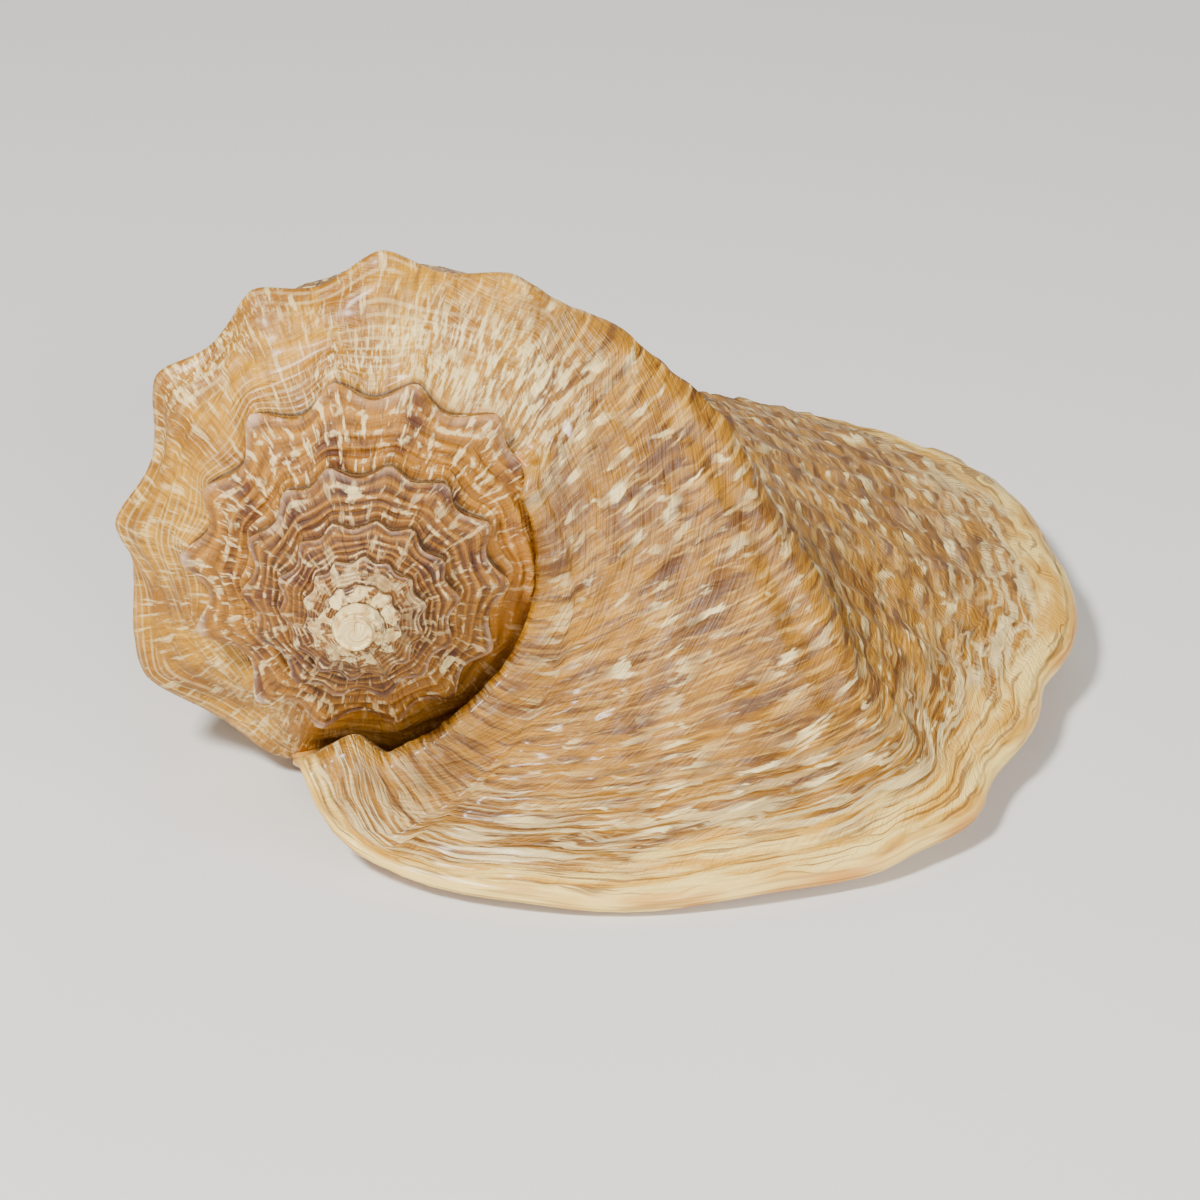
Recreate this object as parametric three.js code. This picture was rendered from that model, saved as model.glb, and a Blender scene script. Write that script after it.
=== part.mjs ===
import * as THREE from 'three';

// Goliath conch shell lying on its opening: one thick wall that coils
// clockwise from a pointed spire and ends in a huge flared lip.
// Up is +Z, the lip spreads towards +X and the canal points along +Y.

// Driving dimensions in millimetres.
const SHELL_LENGTH = 310;
const WALL_INSIDE = 4.6;
const WALL_AT_LIP = 9.2;
const KNOB_HEIGHT = 0.16;
const PRESSED_FLAT = 2.4;

// Growth law: every turn is this much larger than the one before it.
const TURN_GROWTH = 1.47;
const TURNS = 5;
const LAST_SWELL = 0.022;
const LIP_ANGLE = 200;
const DEEP_ANGLE = 20;

// The form is drawn on an axis of this length and scaled at the end.
const AXIS_LENGTH = 335;
const DRAWN_LENGTH = 339;
const UNIT = SHELL_LENGTH / DRAWN_LENGTH;
const AXIS_HEIGHT = 79;
const AXIS_PITCH = 8;
const CANAL_DROOP = 26;
const CALLUS_SWELL = 13;
const DROOP_START = 150;

// Places across the growing edge: 0 at the seam, 1 at the canal tip.
const AT_SHOULDER = 0.24;
const AT_NEXT_SEAM = 0.30;
const SEAM_CLIMB = 0.105;
const SEAM_BAND = 0.035;

// Mesh steps.
const STEPS_PER_TURN = 72;
const SPIRE_SHARES = [0, 0.07, 0.2, 0.36, 0.58, 0.8, 1];
const SPIRE_ROWS = SPIRE_SHARES.length - 1;
const BODY_ROWS = 13;
const RIM_STEPS = 3;

const RADIANS = Math.PI / 180;
const TURN = 2 * Math.PI;
const GROWTH = Math.log(TURN_GROWTH) / TURN;
const LIP_END = LIP_ANGLE * RADIANS;

// Section of the last turn: place, distance from the axis, distance along it.
const SECTION = [
  [0.00, 45.5, 57.8],
  [0.08, 51.0, 62.0],
  [0.17, 60.5, 69.5],
  [0.24, 69.0, 79.0],
  [0.30, 66.9, 85.0],
  [0.42, 61.0, 115.0],
  [0.56, 51.0, 155.0],
  [0.70, 39.0, 200.0],
  [0.82, 28.0, 245.0],
  [0.91, 19.0, 287.0],
  [0.97, 15.0, 322.0],
  [1.00, 0.0, 335.0],
];

// Edge of the lip: place, then x, y and z before scaling.
const MARGIN = [
  [0.020, -15, 19, 31],
  [0.042, -6, 17, 12],
  [0.066, 11, 7, 8.5],
  [0.090, 33, 0, 7.5],
  [0.125, 60, -3, 7],
  [0.160, 89, -1, 8],
  [0.205, 124, 8, 9],
  [0.245, 148, 21, 11],
  [0.310, 168, 53, 14],
  [0.380, 183, 87, 17],
  [0.455, 195, 129, 18],
  [0.530, 192, 173, 17],
  [0.610, 181, 213, 15],
  [0.680, 161, 241, 13],
  [0.740, 138, 258, 12],
  [0.800, 112, 264, 12],
  [0.855, 86, 267, 12],
  [0.895, 65, 277, 12],
  [0.930, 46, 293, 12],
  [0.965, 27, 311, 12],
];

// Knobs of the last turn: angle in degrees and relative height.
const LAST_KNOBS = [
  [-160, 0.8], [-123, 1], [-86, 1], [-51, 1], [-24, 1],
  [3, 1], [28, 0.6], [50, 0.35], [70, 0.2],
];
const KNOB_SPACING = 26;

// Low spiral ridges that fan out over the lip: place, height and width.
const LIP_RIDGES = [
  [0.265, 2.2, 0.020],
  [0.365, 1.6, 0.022],
  [0.460, 1.6, 0.022],
  [0.570, 1.4, 0.024],
];

function curve(places, values, at) {
  const last = places.length - 1;
  const x = Math.min(Math.max(at, places[0]), places[last]);
  let i = 0;
  while (i < last - 1 && x >= places[i + 1]) {
    i += 1;
  }
  const step = (k) => places[k + 1] - places[k];
  const slope = (k) => (values[k + 1] - values[k]) / step(k);
  const tangent = (k) => {
    if (k === 0) return slope(0);
    if (k === last) return slope(last - 1);
    return (slope(k - 1) * step(k) + slope(k) * step(k - 1)) / (step(k - 1) + step(k));
  };
  const h = step(i);
  const t = (x - places[i]) / h;
  const t2 = t * t;
  const t3 = t2 * t;
  const fromStart = (2 * t3 - 3 * t2 + 1) * values[i] + (t3 - 2 * t2 + t) * h * tangent(i);
  const toEnd = (3 * t2 - 2 * t3) * values[i + 1] + (t3 - t2) * h * tangent(i + 1);
  return fromStart + toEnd;
}

function ease(from, to, at) {
  const t = Math.min(Math.max((at - from) / (to - from), 0), 1);
  return t * t * (3 - 2 * t);
}

function bump(at, centre, width) {
  return Math.exp(-(((at - centre) / width) ** 2));
}

const column = (table, k) => table.map((row) => row[k]);
const SECTION_PLACE = column(SECTION, 0);
const SECTION_RADIUS = column(SECTION, 1);
const SECTION_ALONG = column(SECTION, 2);

// How large the shell has grown at an angle; 1 at the top of the last turn.
function size(angle) {
  return Math.exp(GROWTH * angle) * (1 + LAST_SWELL * ease(-150, 15, angle / RADIANS));
}

// Relative height of the shoulder knobs, with the covered ones smoothed over.
function knobs(angle) {
  const degrees = angle / RADIANS;
  let height = 0;
  for (const [centre, tall] of LAST_KNOBS) {
    height += tall * bump(degrees, centre, centre > -60 ? 11.5 : 13.5);
  }
  let centre = LAST_KNOBS[0][0] - KNOB_SPACING;
  while (centre > -360 * TURNS) {
    height += bump(degrees, centre, 8.5);
    centre -= KNOB_SPACING;
  }
  const covered = ease(-322, -300, degrees) * ease(-172, -200, degrees);
  return (height - 0.55 * ease(60, -20, degrees)) * (1 - 0.9 * covered);
}

// Place on a turn where the seam of the next turn lies.
function nextSeam(angle) {
  const degrees = angle / RADIANS;
  return AT_NEXT_SEAM - SEAM_CLIMB * ease(-308, -296, degrees) * ease(-162, -222, degrees);
}

// Radius and distance along the axis of a turn's own section.
function ownSection(angle, place) {
  const grown = size(angle);
  const degrees = angle / RADIANS;
  const shoulder = bump(place, AT_SHOULDER, 0.075);
  const hidden = ease(-140, -200, degrees) * ease(0.34, 0.62, place) * ease(1, 0.75, place);
  let radius = grown * curve(SECTION_PLACE, SECTION_RADIUS, place);
  radius *= (1 + KNOB_HEIGHT * knobs(angle) * shoulder) * (1 - 0.3 * hidden);
  radius += CALLUS_SWELL * bump(place, 0.32, 0.06) * ease(-182, -150, degrees) * ease(-80, -115, degrees);
  const below = Math.min(Math.max((place - AT_NEXT_SEAM) / (1 - AT_NEXT_SEAM), 0), 1);
  let along = grown * curve(SECTION_PLACE, SECTION_ALONG, place);
  along += AXIS_LENGTH * (1 - grown) * below * below;
  return [radius, along];
}

// The same section, pulled at its seam onto the turn before.
function section(angle, place) {
  const [radius, along] = ownSection(angle, place);
  const pull = ease(0.18, 0, place);
  if (pull === 0) return [radius, along];
  const [freeRadius, freeAlong] = ownSection(angle, 0);
  const before = angle - TURN;
  const [seamRadius, seamAlong] = ownSection(before, nextSeam(before));
  return [radius + pull * (seamRadius - freeRadius), along + pull * (seamAlong - freeAlong)];
}

// The canal bends down towards the ground; the wide lip stays where it is.
function droop(radius, along) {
  return CANAL_DROOP * ease(DROOP_START, AXIS_LENGTH, along) * ease(110, 30, radius);
}

function fromAxis(angle, radius, along) {
  const c = Math.cos(AXIS_PITCH * RADIANS);
  const s = Math.sin(AXIS_PITCH * RADIANS);
  const x = radius * Math.sin(angle);
  const up = radius * Math.cos(angle) - droop(radius, along);
  return new THREE.Vector3(x, along * c + up * s, AXIS_HEIGHT - along * s + up * c);
}

function toAxis(x, y, z) {
  const c = Math.cos(AXIS_PITCH * RADIANS);
  const s = Math.sin(AXIS_PITCH * RADIANS);
  const along = y * c - (z - AXIS_HEIGHT) * s;
  const level = y * s + (z - AXIS_HEIGHT) * c;
  let up = level;
  for (let k = 0; k < 8; k += 1) {
    up = level + droop(Math.hypot(x, up), along);
  }
  const angle = (Math.atan2(x, up) + TURN) % TURN;
  return [angle, Math.hypot(x, up), along];
}

// The lip's edge in axis terms, closed at the seam and at the canal tip.
const edge = [[0, LIP_END, ...section(LIP_END, 0)]];
for (const [place, x, y, z] of MARGIN) {
  edge.push([place, ...toAxis(x, y, z)]);
}
edge.push([1, edge[edge.length - 1][1], 0, AXIS_LENGTH]);
const EDGE_PLACE = column(edge, 0);
const EDGE_ANGLE = column(edge, 1);
const EDGE_RADIUS = column(edge, 2);
const EDGE_ALONG = column(edge, 3);

// Outer face of the shell; past the top it flares out to the lip's edge.
function outerPoint(angle, place) {
  if (angle <= 0) return fromAxis(angle, ...section(angle, place));
  const share = Math.min(angle / LIP_END, 1);
  const endAngle = curve(EDGE_PLACE, EDGE_ANGLE, place);
  const bent = endAngle * (1 - (1 - share) ** (LIP_END / endAngle));
  const [radius, along] = section(bent, place);
  const [endRadius, endAlong] = section(endAngle, place);
  const flare = share ** (1.75 + 2.3 * ease(0.22, 0.48, place));
  const reach = share ** 1.8;
  let ridge = 0;
  for (const [centre, tall, wide] of LIP_RIDGES) {
    ridge += tall * bump(place, centre, wide);
  }
  ridge *= ease(0.2, 0.5, share) * ease(1, 0.85, share);
  const wide = radius + flare * (curve(EDGE_PLACE, EDGE_RADIUS, place) - endRadius);
  const far = along + reach * (curve(EDGE_PLACE, EDGE_ALONG, place) - endAlong);
  return fromAxis(bent, wide + ridge, far);
}

const NUDGE = 0.001;

function outwardNormal(angle, place) {
  const across = Math.min(Math.max(place, 2 * NUDGE), 1 - 2 * NUDGE);
  const du = outerPoint(angle + NUDGE, across).sub(outerPoint(angle - NUDGE, across));
  const dv = outerPoint(angle, across + NUDGE).sub(outerPoint(angle, across - NUDGE));
  return du.cross(dv).normalize();
}

function wallThickness(angle, place) {
  const grown = ease(0.7, 1, angle / LIP_END);
  const wall = (WALL_INSIDE + (WALL_AT_LIP - WALL_INSIDE) * grown) / UNIT;
  return wall * ease(1, 0.9, place) * (0.6 + 0.4 * ease(0, 0.08, place));
}

// Places of the rows down one growth line.
function rowPlaces(angle) {
  const seam = nextSeam(angle);
  const places = [];
  for (let i = 0; i <= SPIRE_ROWS; i += 1) {
    places.push(seam * SPIRE_SHARES[i]);
  }
  for (let i = 1; i <= RIM_STEPS; i += 1) {
    places.push(seam + (SEAM_BAND * i) / RIM_STEPS);
  }
  const start = seam + SEAM_BAND;
  for (let i = 1; i <= BODY_ROWS; i += 1) {
    places.push(1 - (1 - start) * (1 - i / BODY_ROWS) ** 1.35);
  }
  return places;
}

const points = [];
const triangles = [];

function addPoint(p) {
  points.push(p);
  return points.length - 1;
}

function addFace(...corners) {
  const face = corners.filter((id, k) => id !== corners[(k + 1) % corners.length]);
  for (let k = 1; k < face.length - 1; k += 1) {
    triangles.push([face[0], face[k], face[k + 1]]);
  }
}

const COLUMN_ANGLE = TURN / STEPS_PER_TURN;
const lipColumn = Math.round(LIP_END / COLUMN_ANGLE);
const deepColumn = Math.round((DEEP_ANGLE * RADIANS) / COLUMN_ANGLE);
const firstColumn = -TURNS * STEPS_PER_TURN;
const wallColumn = deepColumn - STEPS_PER_TURN;
const lastRow = SPIRE_ROWS + RIM_STEPS + BODY_ROWS;
const bandRow = SPIRE_ROWS + RIM_STEPS;
const turnBefore = (j) => j - STEPS_PER_TURN;

const apex = addPoint(fromAxis(0, 0, -0.3));
const tip = addPoint(fromAxis(0, 0, AXIS_LENGTH));

// Outer face. Each turn's seam uses the points of the turn before it.
const outer = new Map();
const outerId = (j, i) => outer.get(`${j},${i}`);
for (let j = firstColumn; j <= lipColumn; j += 1) {
  const angle = j * COLUMN_ANGLE;
  const places = rowPlaces(angle);
  for (let i = 0; i <= lastRow; i += 1) {
    const underLip = i > SPIRE_ROWS && i < bandRow && j < turnBefore(lipColumn);
    const insideSpire = i > SPIRE_ROWS && j < wallColumn;
    if (underLip || insideSpire) continue;
    let id = tip;
    if (i === 0) {
      id = turnBefore(j) >= firstColumn ? outerId(turnBefore(j), SPIRE_ROWS) : apex;
    } else if (i < lastRow) {
      id = addPoint(outerPoint(angle, places[i]));
    }
    outer.set(`${j},${i}`, id);
  }
}
for (let j = firstColumn; j < lipColumn; j += 1) {
  const bodyStart = j >= turnBefore(lipColumn) ? SPIRE_ROWS : bandRow;
  for (let i = 0; i < lastRow; i += 1) {
    const onSpire = i < SPIRE_ROWS;
    const onBody = i >= bodyStart && j >= wallColumn;
    if (!onSpire && !onBody) continue;
    addFace(outerId(j, i), outerId(j + 1, i), outerId(j + 1, i + 1), outerId(j, i + 1));
  }
}
for (let i = 1; i < SPIRE_ROWS; i += 1) {
  addFace(apex, outerId(firstColumn, i), outerId(firstColumn, i + 1));
}

// Inner face of the last turn, one wall thickness inside the outer face.
const innerRows = [];
for (let j = deepColumn; j <= lipColumn; j += 1) {
  const angle = j * COLUMN_ANGLE;
  const places = rowPlaces(angle);
  const row = [];
  for (let i = 0; i <= lastRow; i += 1) {
    if (i === 0) {
      row.push(outerId(turnBefore(j), bandRow));
    } else if (i === lastRow) {
      row.push(tip);
    } else {
      const depth = -wallThickness(angle, places[i]);
      const inward = outwardNormal(angle, places[i]).multiplyScalar(depth);
      row.push(addPoint(outerPoint(angle, places[i]).add(inward)));
    }
  }
  innerRows.push(row);
}
const innerId = (j, i) => innerRows[j - deepColumn][i];
for (let j = deepColumn; j < lipColumn; j += 1) {
  for (let i = 0; i < lastRow; i += 1) {
    addFace(innerId(j, i), innerId(j, i + 1), innerId(j + 1, i + 1), innerId(j + 1, i));
  }
}

// Rounded edge of the lip, joining the outer face to the inner face.
const RIM_ROUNDNESS = 0.45;
const rim = [];
const lipPlaces = rowPlaces(LIP_END);
for (let i = 0; i <= lastRow; i += 1) {
  const from = points[outerId(lipColumn, i)];
  const to = points[innerId(lipColumn, i)];
  const outward = outerPoint(LIP_END, lipPlaces[i]).sub(outerPoint(LIP_END - 0.02, lipPlaces[i]));
  const reach = from.distanceTo(to) * RIM_ROUNDNESS;
  const row = [];
  for (let s = 0; s <= RIM_STEPS; s += 1) {
    if (i === 0) {
      row.push(outerId(turnBefore(lipColumn), SPIRE_ROWS + s));
    } else if (i === lastRow) {
      row.push(tip);
    } else if (s === 0) {
      row.push(outerId(lipColumn, i));
    } else if (s === RIM_STEPS) {
      row.push(innerId(lipColumn, i));
    } else {
      const turn = (Math.PI * s) / RIM_STEPS;
      const p = from.clone().lerp(to, (1 - Math.cos(turn)) / 2);
      row.push(addPoint(p.addScaledVector(outward.clone().normalize(), reach * Math.sin(turn))));
    }
  }
  rim.push(row);
}
for (let i = 0; i < lastRow; i += 1) {
  for (let s = 0; s < RIM_STEPS; s += 1) {
    addFace(rim[i][s], rim[i][s + 1], rim[i + 1][s + 1], rim[i + 1][s]);
  }
}

// Wall that closes the hollow deep inside, between the two faces.
let a = 0;
let b = bandRow;
while (a < lastRow || b < lastRow) {
  const shareA = a / lastRow;
  const shareB = (b - bandRow) / BODY_ROWS;
  if (b === lastRow || (a < lastRow && shareA <= shareB)) {
    addFace(innerId(deepColumn, a + 1), innerId(deepColumn, a), outerId(wallColumn, b));
    a += 1;
  } else {
    addFace(outerId(wallColumn, b), outerId(wallColumn, b + 1), innerId(deepColumn, a));
    b += 1;
  }
}

// Scale to size, stand it on the ground and press its lowest spots flat.
const box = new THREE.Box3().setFromPoints(points);
const middle = box.getCenter(new THREE.Vector3());
const flat = [];
for (const p of points) {
  const up = (p.z - box.min.z) * UNIT - PRESSED_FLAT;
  flat.push((p.x - middle.x) * UNIT, (p.y - middle.y) * UNIT, Math.max(up, 0));
}

const geometry = new THREE.BufferGeometry();
geometry.setAttribute('position', new THREE.Float32BufferAttribute(flat, 3));
geometry.setIndex(triangles.flat());
geometry.computeVertexNormals();

const glossyShell = new THREE.MeshStandardMaterial({
  color: new THREE.Color(0.78, 0.60, 0.38),
  roughness: 0.35,
  metalness: 0,
});
const shell = new THREE.Mesh(geometry, glossyShell);
shell.name = 'shell';

const conch = new THREE.Group();
conch.add(shell);

export default conch;
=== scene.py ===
# %% [markdown]
# # A goliath conch shell
# A big sea snail builds its shell by adding a little wall at its open edge, day
# after day. The edge swings clockwise round an axis, and every turn comes out
# larger than the last one. So the whole shell follows one rule: a section that
# turns and grows. This lesson builds the shell from that rule, adds the ribs
# and growth lines with a node tree, and paints it with patterns that follow
# the growth, as the real colours do.

# %% Start with the fixed frame
import math

import bpy
import numpy as np
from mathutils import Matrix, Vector


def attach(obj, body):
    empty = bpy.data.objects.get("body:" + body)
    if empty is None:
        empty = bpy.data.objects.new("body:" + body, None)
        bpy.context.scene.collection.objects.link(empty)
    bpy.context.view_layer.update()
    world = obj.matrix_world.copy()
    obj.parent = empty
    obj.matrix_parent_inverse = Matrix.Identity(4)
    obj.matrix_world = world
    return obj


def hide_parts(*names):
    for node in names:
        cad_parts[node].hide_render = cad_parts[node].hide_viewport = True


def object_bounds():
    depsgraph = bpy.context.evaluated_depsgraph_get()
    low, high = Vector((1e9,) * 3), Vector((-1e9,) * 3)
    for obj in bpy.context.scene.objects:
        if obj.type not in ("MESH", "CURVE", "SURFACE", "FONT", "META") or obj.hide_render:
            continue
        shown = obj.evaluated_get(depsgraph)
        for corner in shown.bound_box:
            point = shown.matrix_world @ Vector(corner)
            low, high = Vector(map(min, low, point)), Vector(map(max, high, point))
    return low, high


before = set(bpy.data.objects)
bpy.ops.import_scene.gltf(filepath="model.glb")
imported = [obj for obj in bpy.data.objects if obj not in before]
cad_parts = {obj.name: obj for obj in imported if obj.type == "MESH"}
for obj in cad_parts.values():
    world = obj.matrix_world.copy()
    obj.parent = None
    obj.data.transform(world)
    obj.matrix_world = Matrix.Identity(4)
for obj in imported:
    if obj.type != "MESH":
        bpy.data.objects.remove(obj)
solid_box = [list(corner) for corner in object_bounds()]
print("the solid's box in metres:", solid_box)

# %% [markdown]
# ## Smooth steps and smooth curves
# Two small helpers carry the whole form. `ease` fades from 0 to 1 between two
# values, and `curve` draws a smooth line through a few chosen points. A short
# list of points is easy to tune by eye, which a formula would not be.

# %% Helpers for fades and curves
TURN = 2 * math.pi
DEGREE = math.pi / 180


def ease(start, end, x):
    t = np.clip((x - start) / (end - start), 0, 1)
    return t * t * (3 - 2 * t)


def bump(x, centre, width):
    return np.exp(-((x - centre) / width) ** 2)


def curve(places, values, x):
    places, values = np.asarray(places, float), np.asarray(values, float)
    x = np.clip(x, places[0], places[-1])
    gap = np.diff(places)
    slope = np.diff(values) / gap
    lean = np.empty(len(places))
    lean[0], lean[-1] = slope[0], slope[-1]
    lean[1:-1] = (slope[:-1] * gap[1:] + slope[1:] * gap[:-1]) / (gap[:-1] + gap[1:])
    i = np.clip(np.searchsorted(places, x, side="right") - 1, 0, len(gap) - 1)
    t = (x - places[i]) / gap[i]
    from_start = (2 * t**3 - 3 * t**2 + 1) * values[i] + (t**3 - 2 * t**2 + t) * gap[i] * lean[i]
    to_end = (3 * t**2 - 2 * t**3) * values[i + 1] + (t**3 - t**2) * gap[i] * lean[i + 1]
    return from_start + to_end


print("a fade from 0 to 1 is halfway at", float(ease(0, 1, 0.5)))

# %% [markdown]
# ## How the shell grows
# `age` is the angle along the coil in radians: 0 at the top of the last turn,
# negative further back in the spire. `place` runs down the growing edge: 0 at
# the seam with the turn before, 0.24 on the shoulder where the knobs stand,
# and 1 at the tip of the canal. All lengths are drawn in millimetres first.

# %% Growth law
TURN_GROWTH = 1.47
TURNS = 7
LAST_SWELL = 0.022
LIP_END = 200 * DEGREE
DEEP_START = 20 * DEGREE
AXIS_LENGTH = 335.0
SHOULDER = 0.24
NEXT_SEAM = 0.30
SEAM_CLIMB = 0.105
SEAM_BAND = 0.035

SECTION_PLACE = [0, 0.08, 0.17, 0.24, 0.30, 0.42, 0.56, 0.70, 0.82, 0.91, 0.97, 1.0]
SECTION_RADIUS = [45.5, 51.0, 60.5, 69.0, 66.9, 61.0, 51.0, 39.0, 28.0, 19.0, 15.0, 0.0]
SECTION_ALONG = [57.8, 62.0, 69.5, 79.0, 85.0, 115, 155, 200, 245, 287, 322, 335]


def size(age):
    grown = np.exp(math.log(TURN_GROWTH) / TURN * age)
    return grown * (1 + LAST_SWELL * ease(-150, 15, age / DEGREE))


print("the spire's first turn is", round(float(size(-TURNS * TURN)), 3), "of the last")

# %% [markdown]
# ## Knobs on the shoulder
# Strombid shells push out a blunt knob every so often while they grow. On the
# small turns they come at an even pace. On the last turn each knob has its own
# place and height, and they fade away where the lip begins to flare.

# %% Knob heights
KNOB_HEIGHT = 0.16
KNOB_SPACING = 26
TOP_KNOB_WIDTH, SIDE_KNOB_WIDTH, SPIRE_KNOB_WIDTH = 10.8, 11.4, 8.0
KNOB_POINT = 1.6
VALLEY_DEPTH = 0.55
BIG_KNOBS_FROM = -560
LAST_KNOBS = [(-160, 0.8), (-123, 1), (-86, 1), (-51, 1), (-24, 1),
              (3, 1), (28, 0.6), (50, 0.35), (70, 0.2)]
uneven = np.random.default_rng(12)


def spire_knob(centre):
    bigger = 1.25 if centre > BIG_KNOBS_FROM else 1
    return centre + uneven.uniform(-3, 3), uneven.uniform(0.75, 1.1) * bigger


spire_places = np.arange(LAST_KNOBS[0][0] - KNOB_SPACING, -360 * TURNS, -KNOB_SPACING)
SPIRE_KNOBS = [spire_knob(centre) for centre in spire_places]
print(len(LAST_KNOBS), "knobs on the last turn and", len(SPIRE_KNOBS), "on the spire")


def knob_shape(x, centre, width):
    return np.exp(-(np.abs(x - centre) / width) ** KNOB_POINT)


def knobs(age):
    degrees = age / DEGREE
    height = np.zeros_like(degrees)
    for centre, tall in LAST_KNOBS:
        width = TOP_KNOB_WIDTH if centre > -60 else SIDE_KNOB_WIDTH
        height += tall * knob_shape(degrees, centre, width)
    for centre, tall in SPIRE_KNOBS:
        height += tall * knob_shape(degrees, centre, SPIRE_KNOB_WIDTH)
    # The wing covers part of the turn before it, and the oldest turns are worn.
    covered = ease(-322, -300, degrees) * ease(-172, -200, degrees)
    worn = 1 - 0.75 * ease(-1500, -2300, degrees)
    return (height - VALLEY_DEPTH * ease(60, -20, degrees)) * (1 - 0.9 * covered) * worn


# %% [markdown]
# ## The section of one turn
# Each turn has its own outline, and near its seam it is pulled onto the turn
# before it, so the two meet exactly. Under the lip the older turn is smoother
# and slimmer, because the animal glazes it over. The knobs run on down the body
# as low ribs, and the valleys between them run a little further still.

# %% Section of a turn
CALLUS_SWELL = 13.0
HIDDEN_SLIMMING = 0.3
KNOB_REACH_UP, KNOB_REACH_DOWN, VALLEY_REACH_DOWN = 0.075, 0.135, 0.15
RAMP_HOLLOW, SHOULDER_LIFT, APEX_DOME = 3.2, 3.0, 13.0
SEAM_PULL_ENDS = 0.18


def next_seam(age):
    degrees = age / DEGREE
    return NEXT_SEAM - SEAM_CLIMB * ease(-308, -296, degrees) * ease(-162, -222, degrees)


def own_section(age, place):
    grown, degrees = size(age), age / DEGREE
    hidden = ease(-140, -200, degrees) * ease(0.34, 0.62, place) * ease(1, 0.75, place)
    radius = grown * curve(SECTION_PLACE, SECTION_RADIUS, place)
    knob = knobs(age)
    reach_down = np.where(knob < 0, VALLEY_REACH_DOWN, KNOB_REACH_DOWN)
    knob_reach = np.where(place > SHOULDER, reach_down, KNOB_REACH_UP)
    radius = radius * (1 + KNOB_HEIGHT * knob * bump(place, SHOULDER, knob_reach))
    radius = radius * (1 - HIDDEN_SLIMMING * hidden)
    swell = bump(place, 0.32, 0.06) * ease(-182, -150, degrees) * ease(-80, -115, degrees)
    old_turn = ease(-165, -210, degrees)
    hollow = RAMP_HOLLOW * bump(place, 0.075, 0.05) - SHOULDER_LIFT * bump(place, 0.232, 0.028)
    first_turn = ease(-1900, -2250, degrees)
    hollow = hollow * (1 - first_turn) - APEX_DOME * first_turn * bump(place, 0.14, 0.07)
    radius = radius * (1 - 0.10 * first_turn * bump(place, SHOULDER, 0.06))
    below = np.clip((place - NEXT_SEAM) / (1 - NEXT_SEAM), 0, 1)
    along = grown * (curve(SECTION_PLACE, SECTION_ALONG, place) + hollow * old_turn)
    return radius + CALLUS_SWELL * swell, along + AXIS_LENGTH * (1 - grown) * below**2


def section(age, place):
    radius, along = own_section(age, place)
    free = own_section(age, np.zeros_like(place))
    seam = own_section(age - TURN, next_seam(age - TURN))
    pull = ease(SEAM_PULL_ENDS, 0, place)
    return radius + pull * (seam[0] - free[0]), along + pull * (seam[1] - free[1])


at_shoulder = section(np.array([0.0]), np.array([SHOULDER]))
print("shoulder radius at the top of the last turn", round(float(at_shoulder[0][0]), 1), "mm")


# %% [markdown]
# ## From the axis to the ground
# The shell lies on its opening with the spire a little raised, so the axis is
# pitched. The canal bends down to the ground at the far end.

# %% Axis to ground
AXIS_HEIGHT = 79.0
PITCH = 8 * DEGREE
CANAL_DROOP = 26.0
DROOP_FROM = 150


def droop(radius, along):
    return CANAL_DROOP * ease(DROOP_FROM, AXIS_LENGTH, along) * ease(110, 30, radius)


def from_axis(angle, radius, along):
    up = radius * np.cos(angle) - droop(radius, along)
    x = radius * np.sin(angle)
    y = along * math.cos(PITCH) + up * math.sin(PITCH)
    z = AXIS_HEIGHT - along * math.sin(PITCH) + up * math.cos(PITCH)
    return np.stack([x, y, z], -1)


def to_axis(x, y, z):
    along = y * math.cos(PITCH) - (z - AXIS_HEIGHT) * math.sin(PITCH)
    level = y * math.sin(PITCH) + (z - AXIS_HEIGHT) * math.cos(PITCH)
    up = level
    for _ in range(8):
        up = level + droop(math.hypot(x, up), along)
    return math.atan2(x, up) % TURN, math.hypot(x, up), along


print("the canal's tip lies at", from_axis(0.0, 0.0, AXIS_LENGTH).round(1), "mm")

# %% [markdown]
# ## The flared lip
# The grown-up snail stops coiling and throws its edge outwards into a wing.
# Twenty points set the edge. Between the body and that edge the surface leaves
# the coil slowly at first and fast at the end, which gives the hollow flank.

# %% Edge of the lip, its scallops and the broad ridges
MARGIN = [
    (0.020, -15, 19, 31), (0.042, -6, 17, 12), (0.066, 11, 7, 8.5), (0.090, 33, 0, 7.5),
    (0.125, 60, -3, 7), (0.160, 89, -1, 8), (0.205, 124, 8, 9), (0.245, 148, 21, 11),
    (0.310, 168, 53, 14), (0.380, 183, 87, 17), (0.455, 195, 129, 18), (0.530, 192, 173, 17),
    (0.610, 181, 213, 15), (0.680, 161, 241, 13), (0.740, 138, 258, 12), (0.800, 112, 264, 12),
    (0.855, 86, 267, 12), (0.895, 65, 277, 12), (0.930, 46, 293, 12), (0.965, 27, 311, 12),
]
start = [float(part[0]) for part in section(np.array([LIP_END]), np.array([0.0]))]
edge = [(0.0, LIP_END, start[0], start[1])]
edge += [(place, *to_axis(x, y, z)) for place, x, y, z in MARGIN]
edge += [(1.0, edge[-1][1], 0.0, AXIS_LENGTH)]
EDGE_PLACE, EDGE_ANGLE, EDGE_RADIUS, EDGE_ALONG = zip(*edge)
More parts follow.
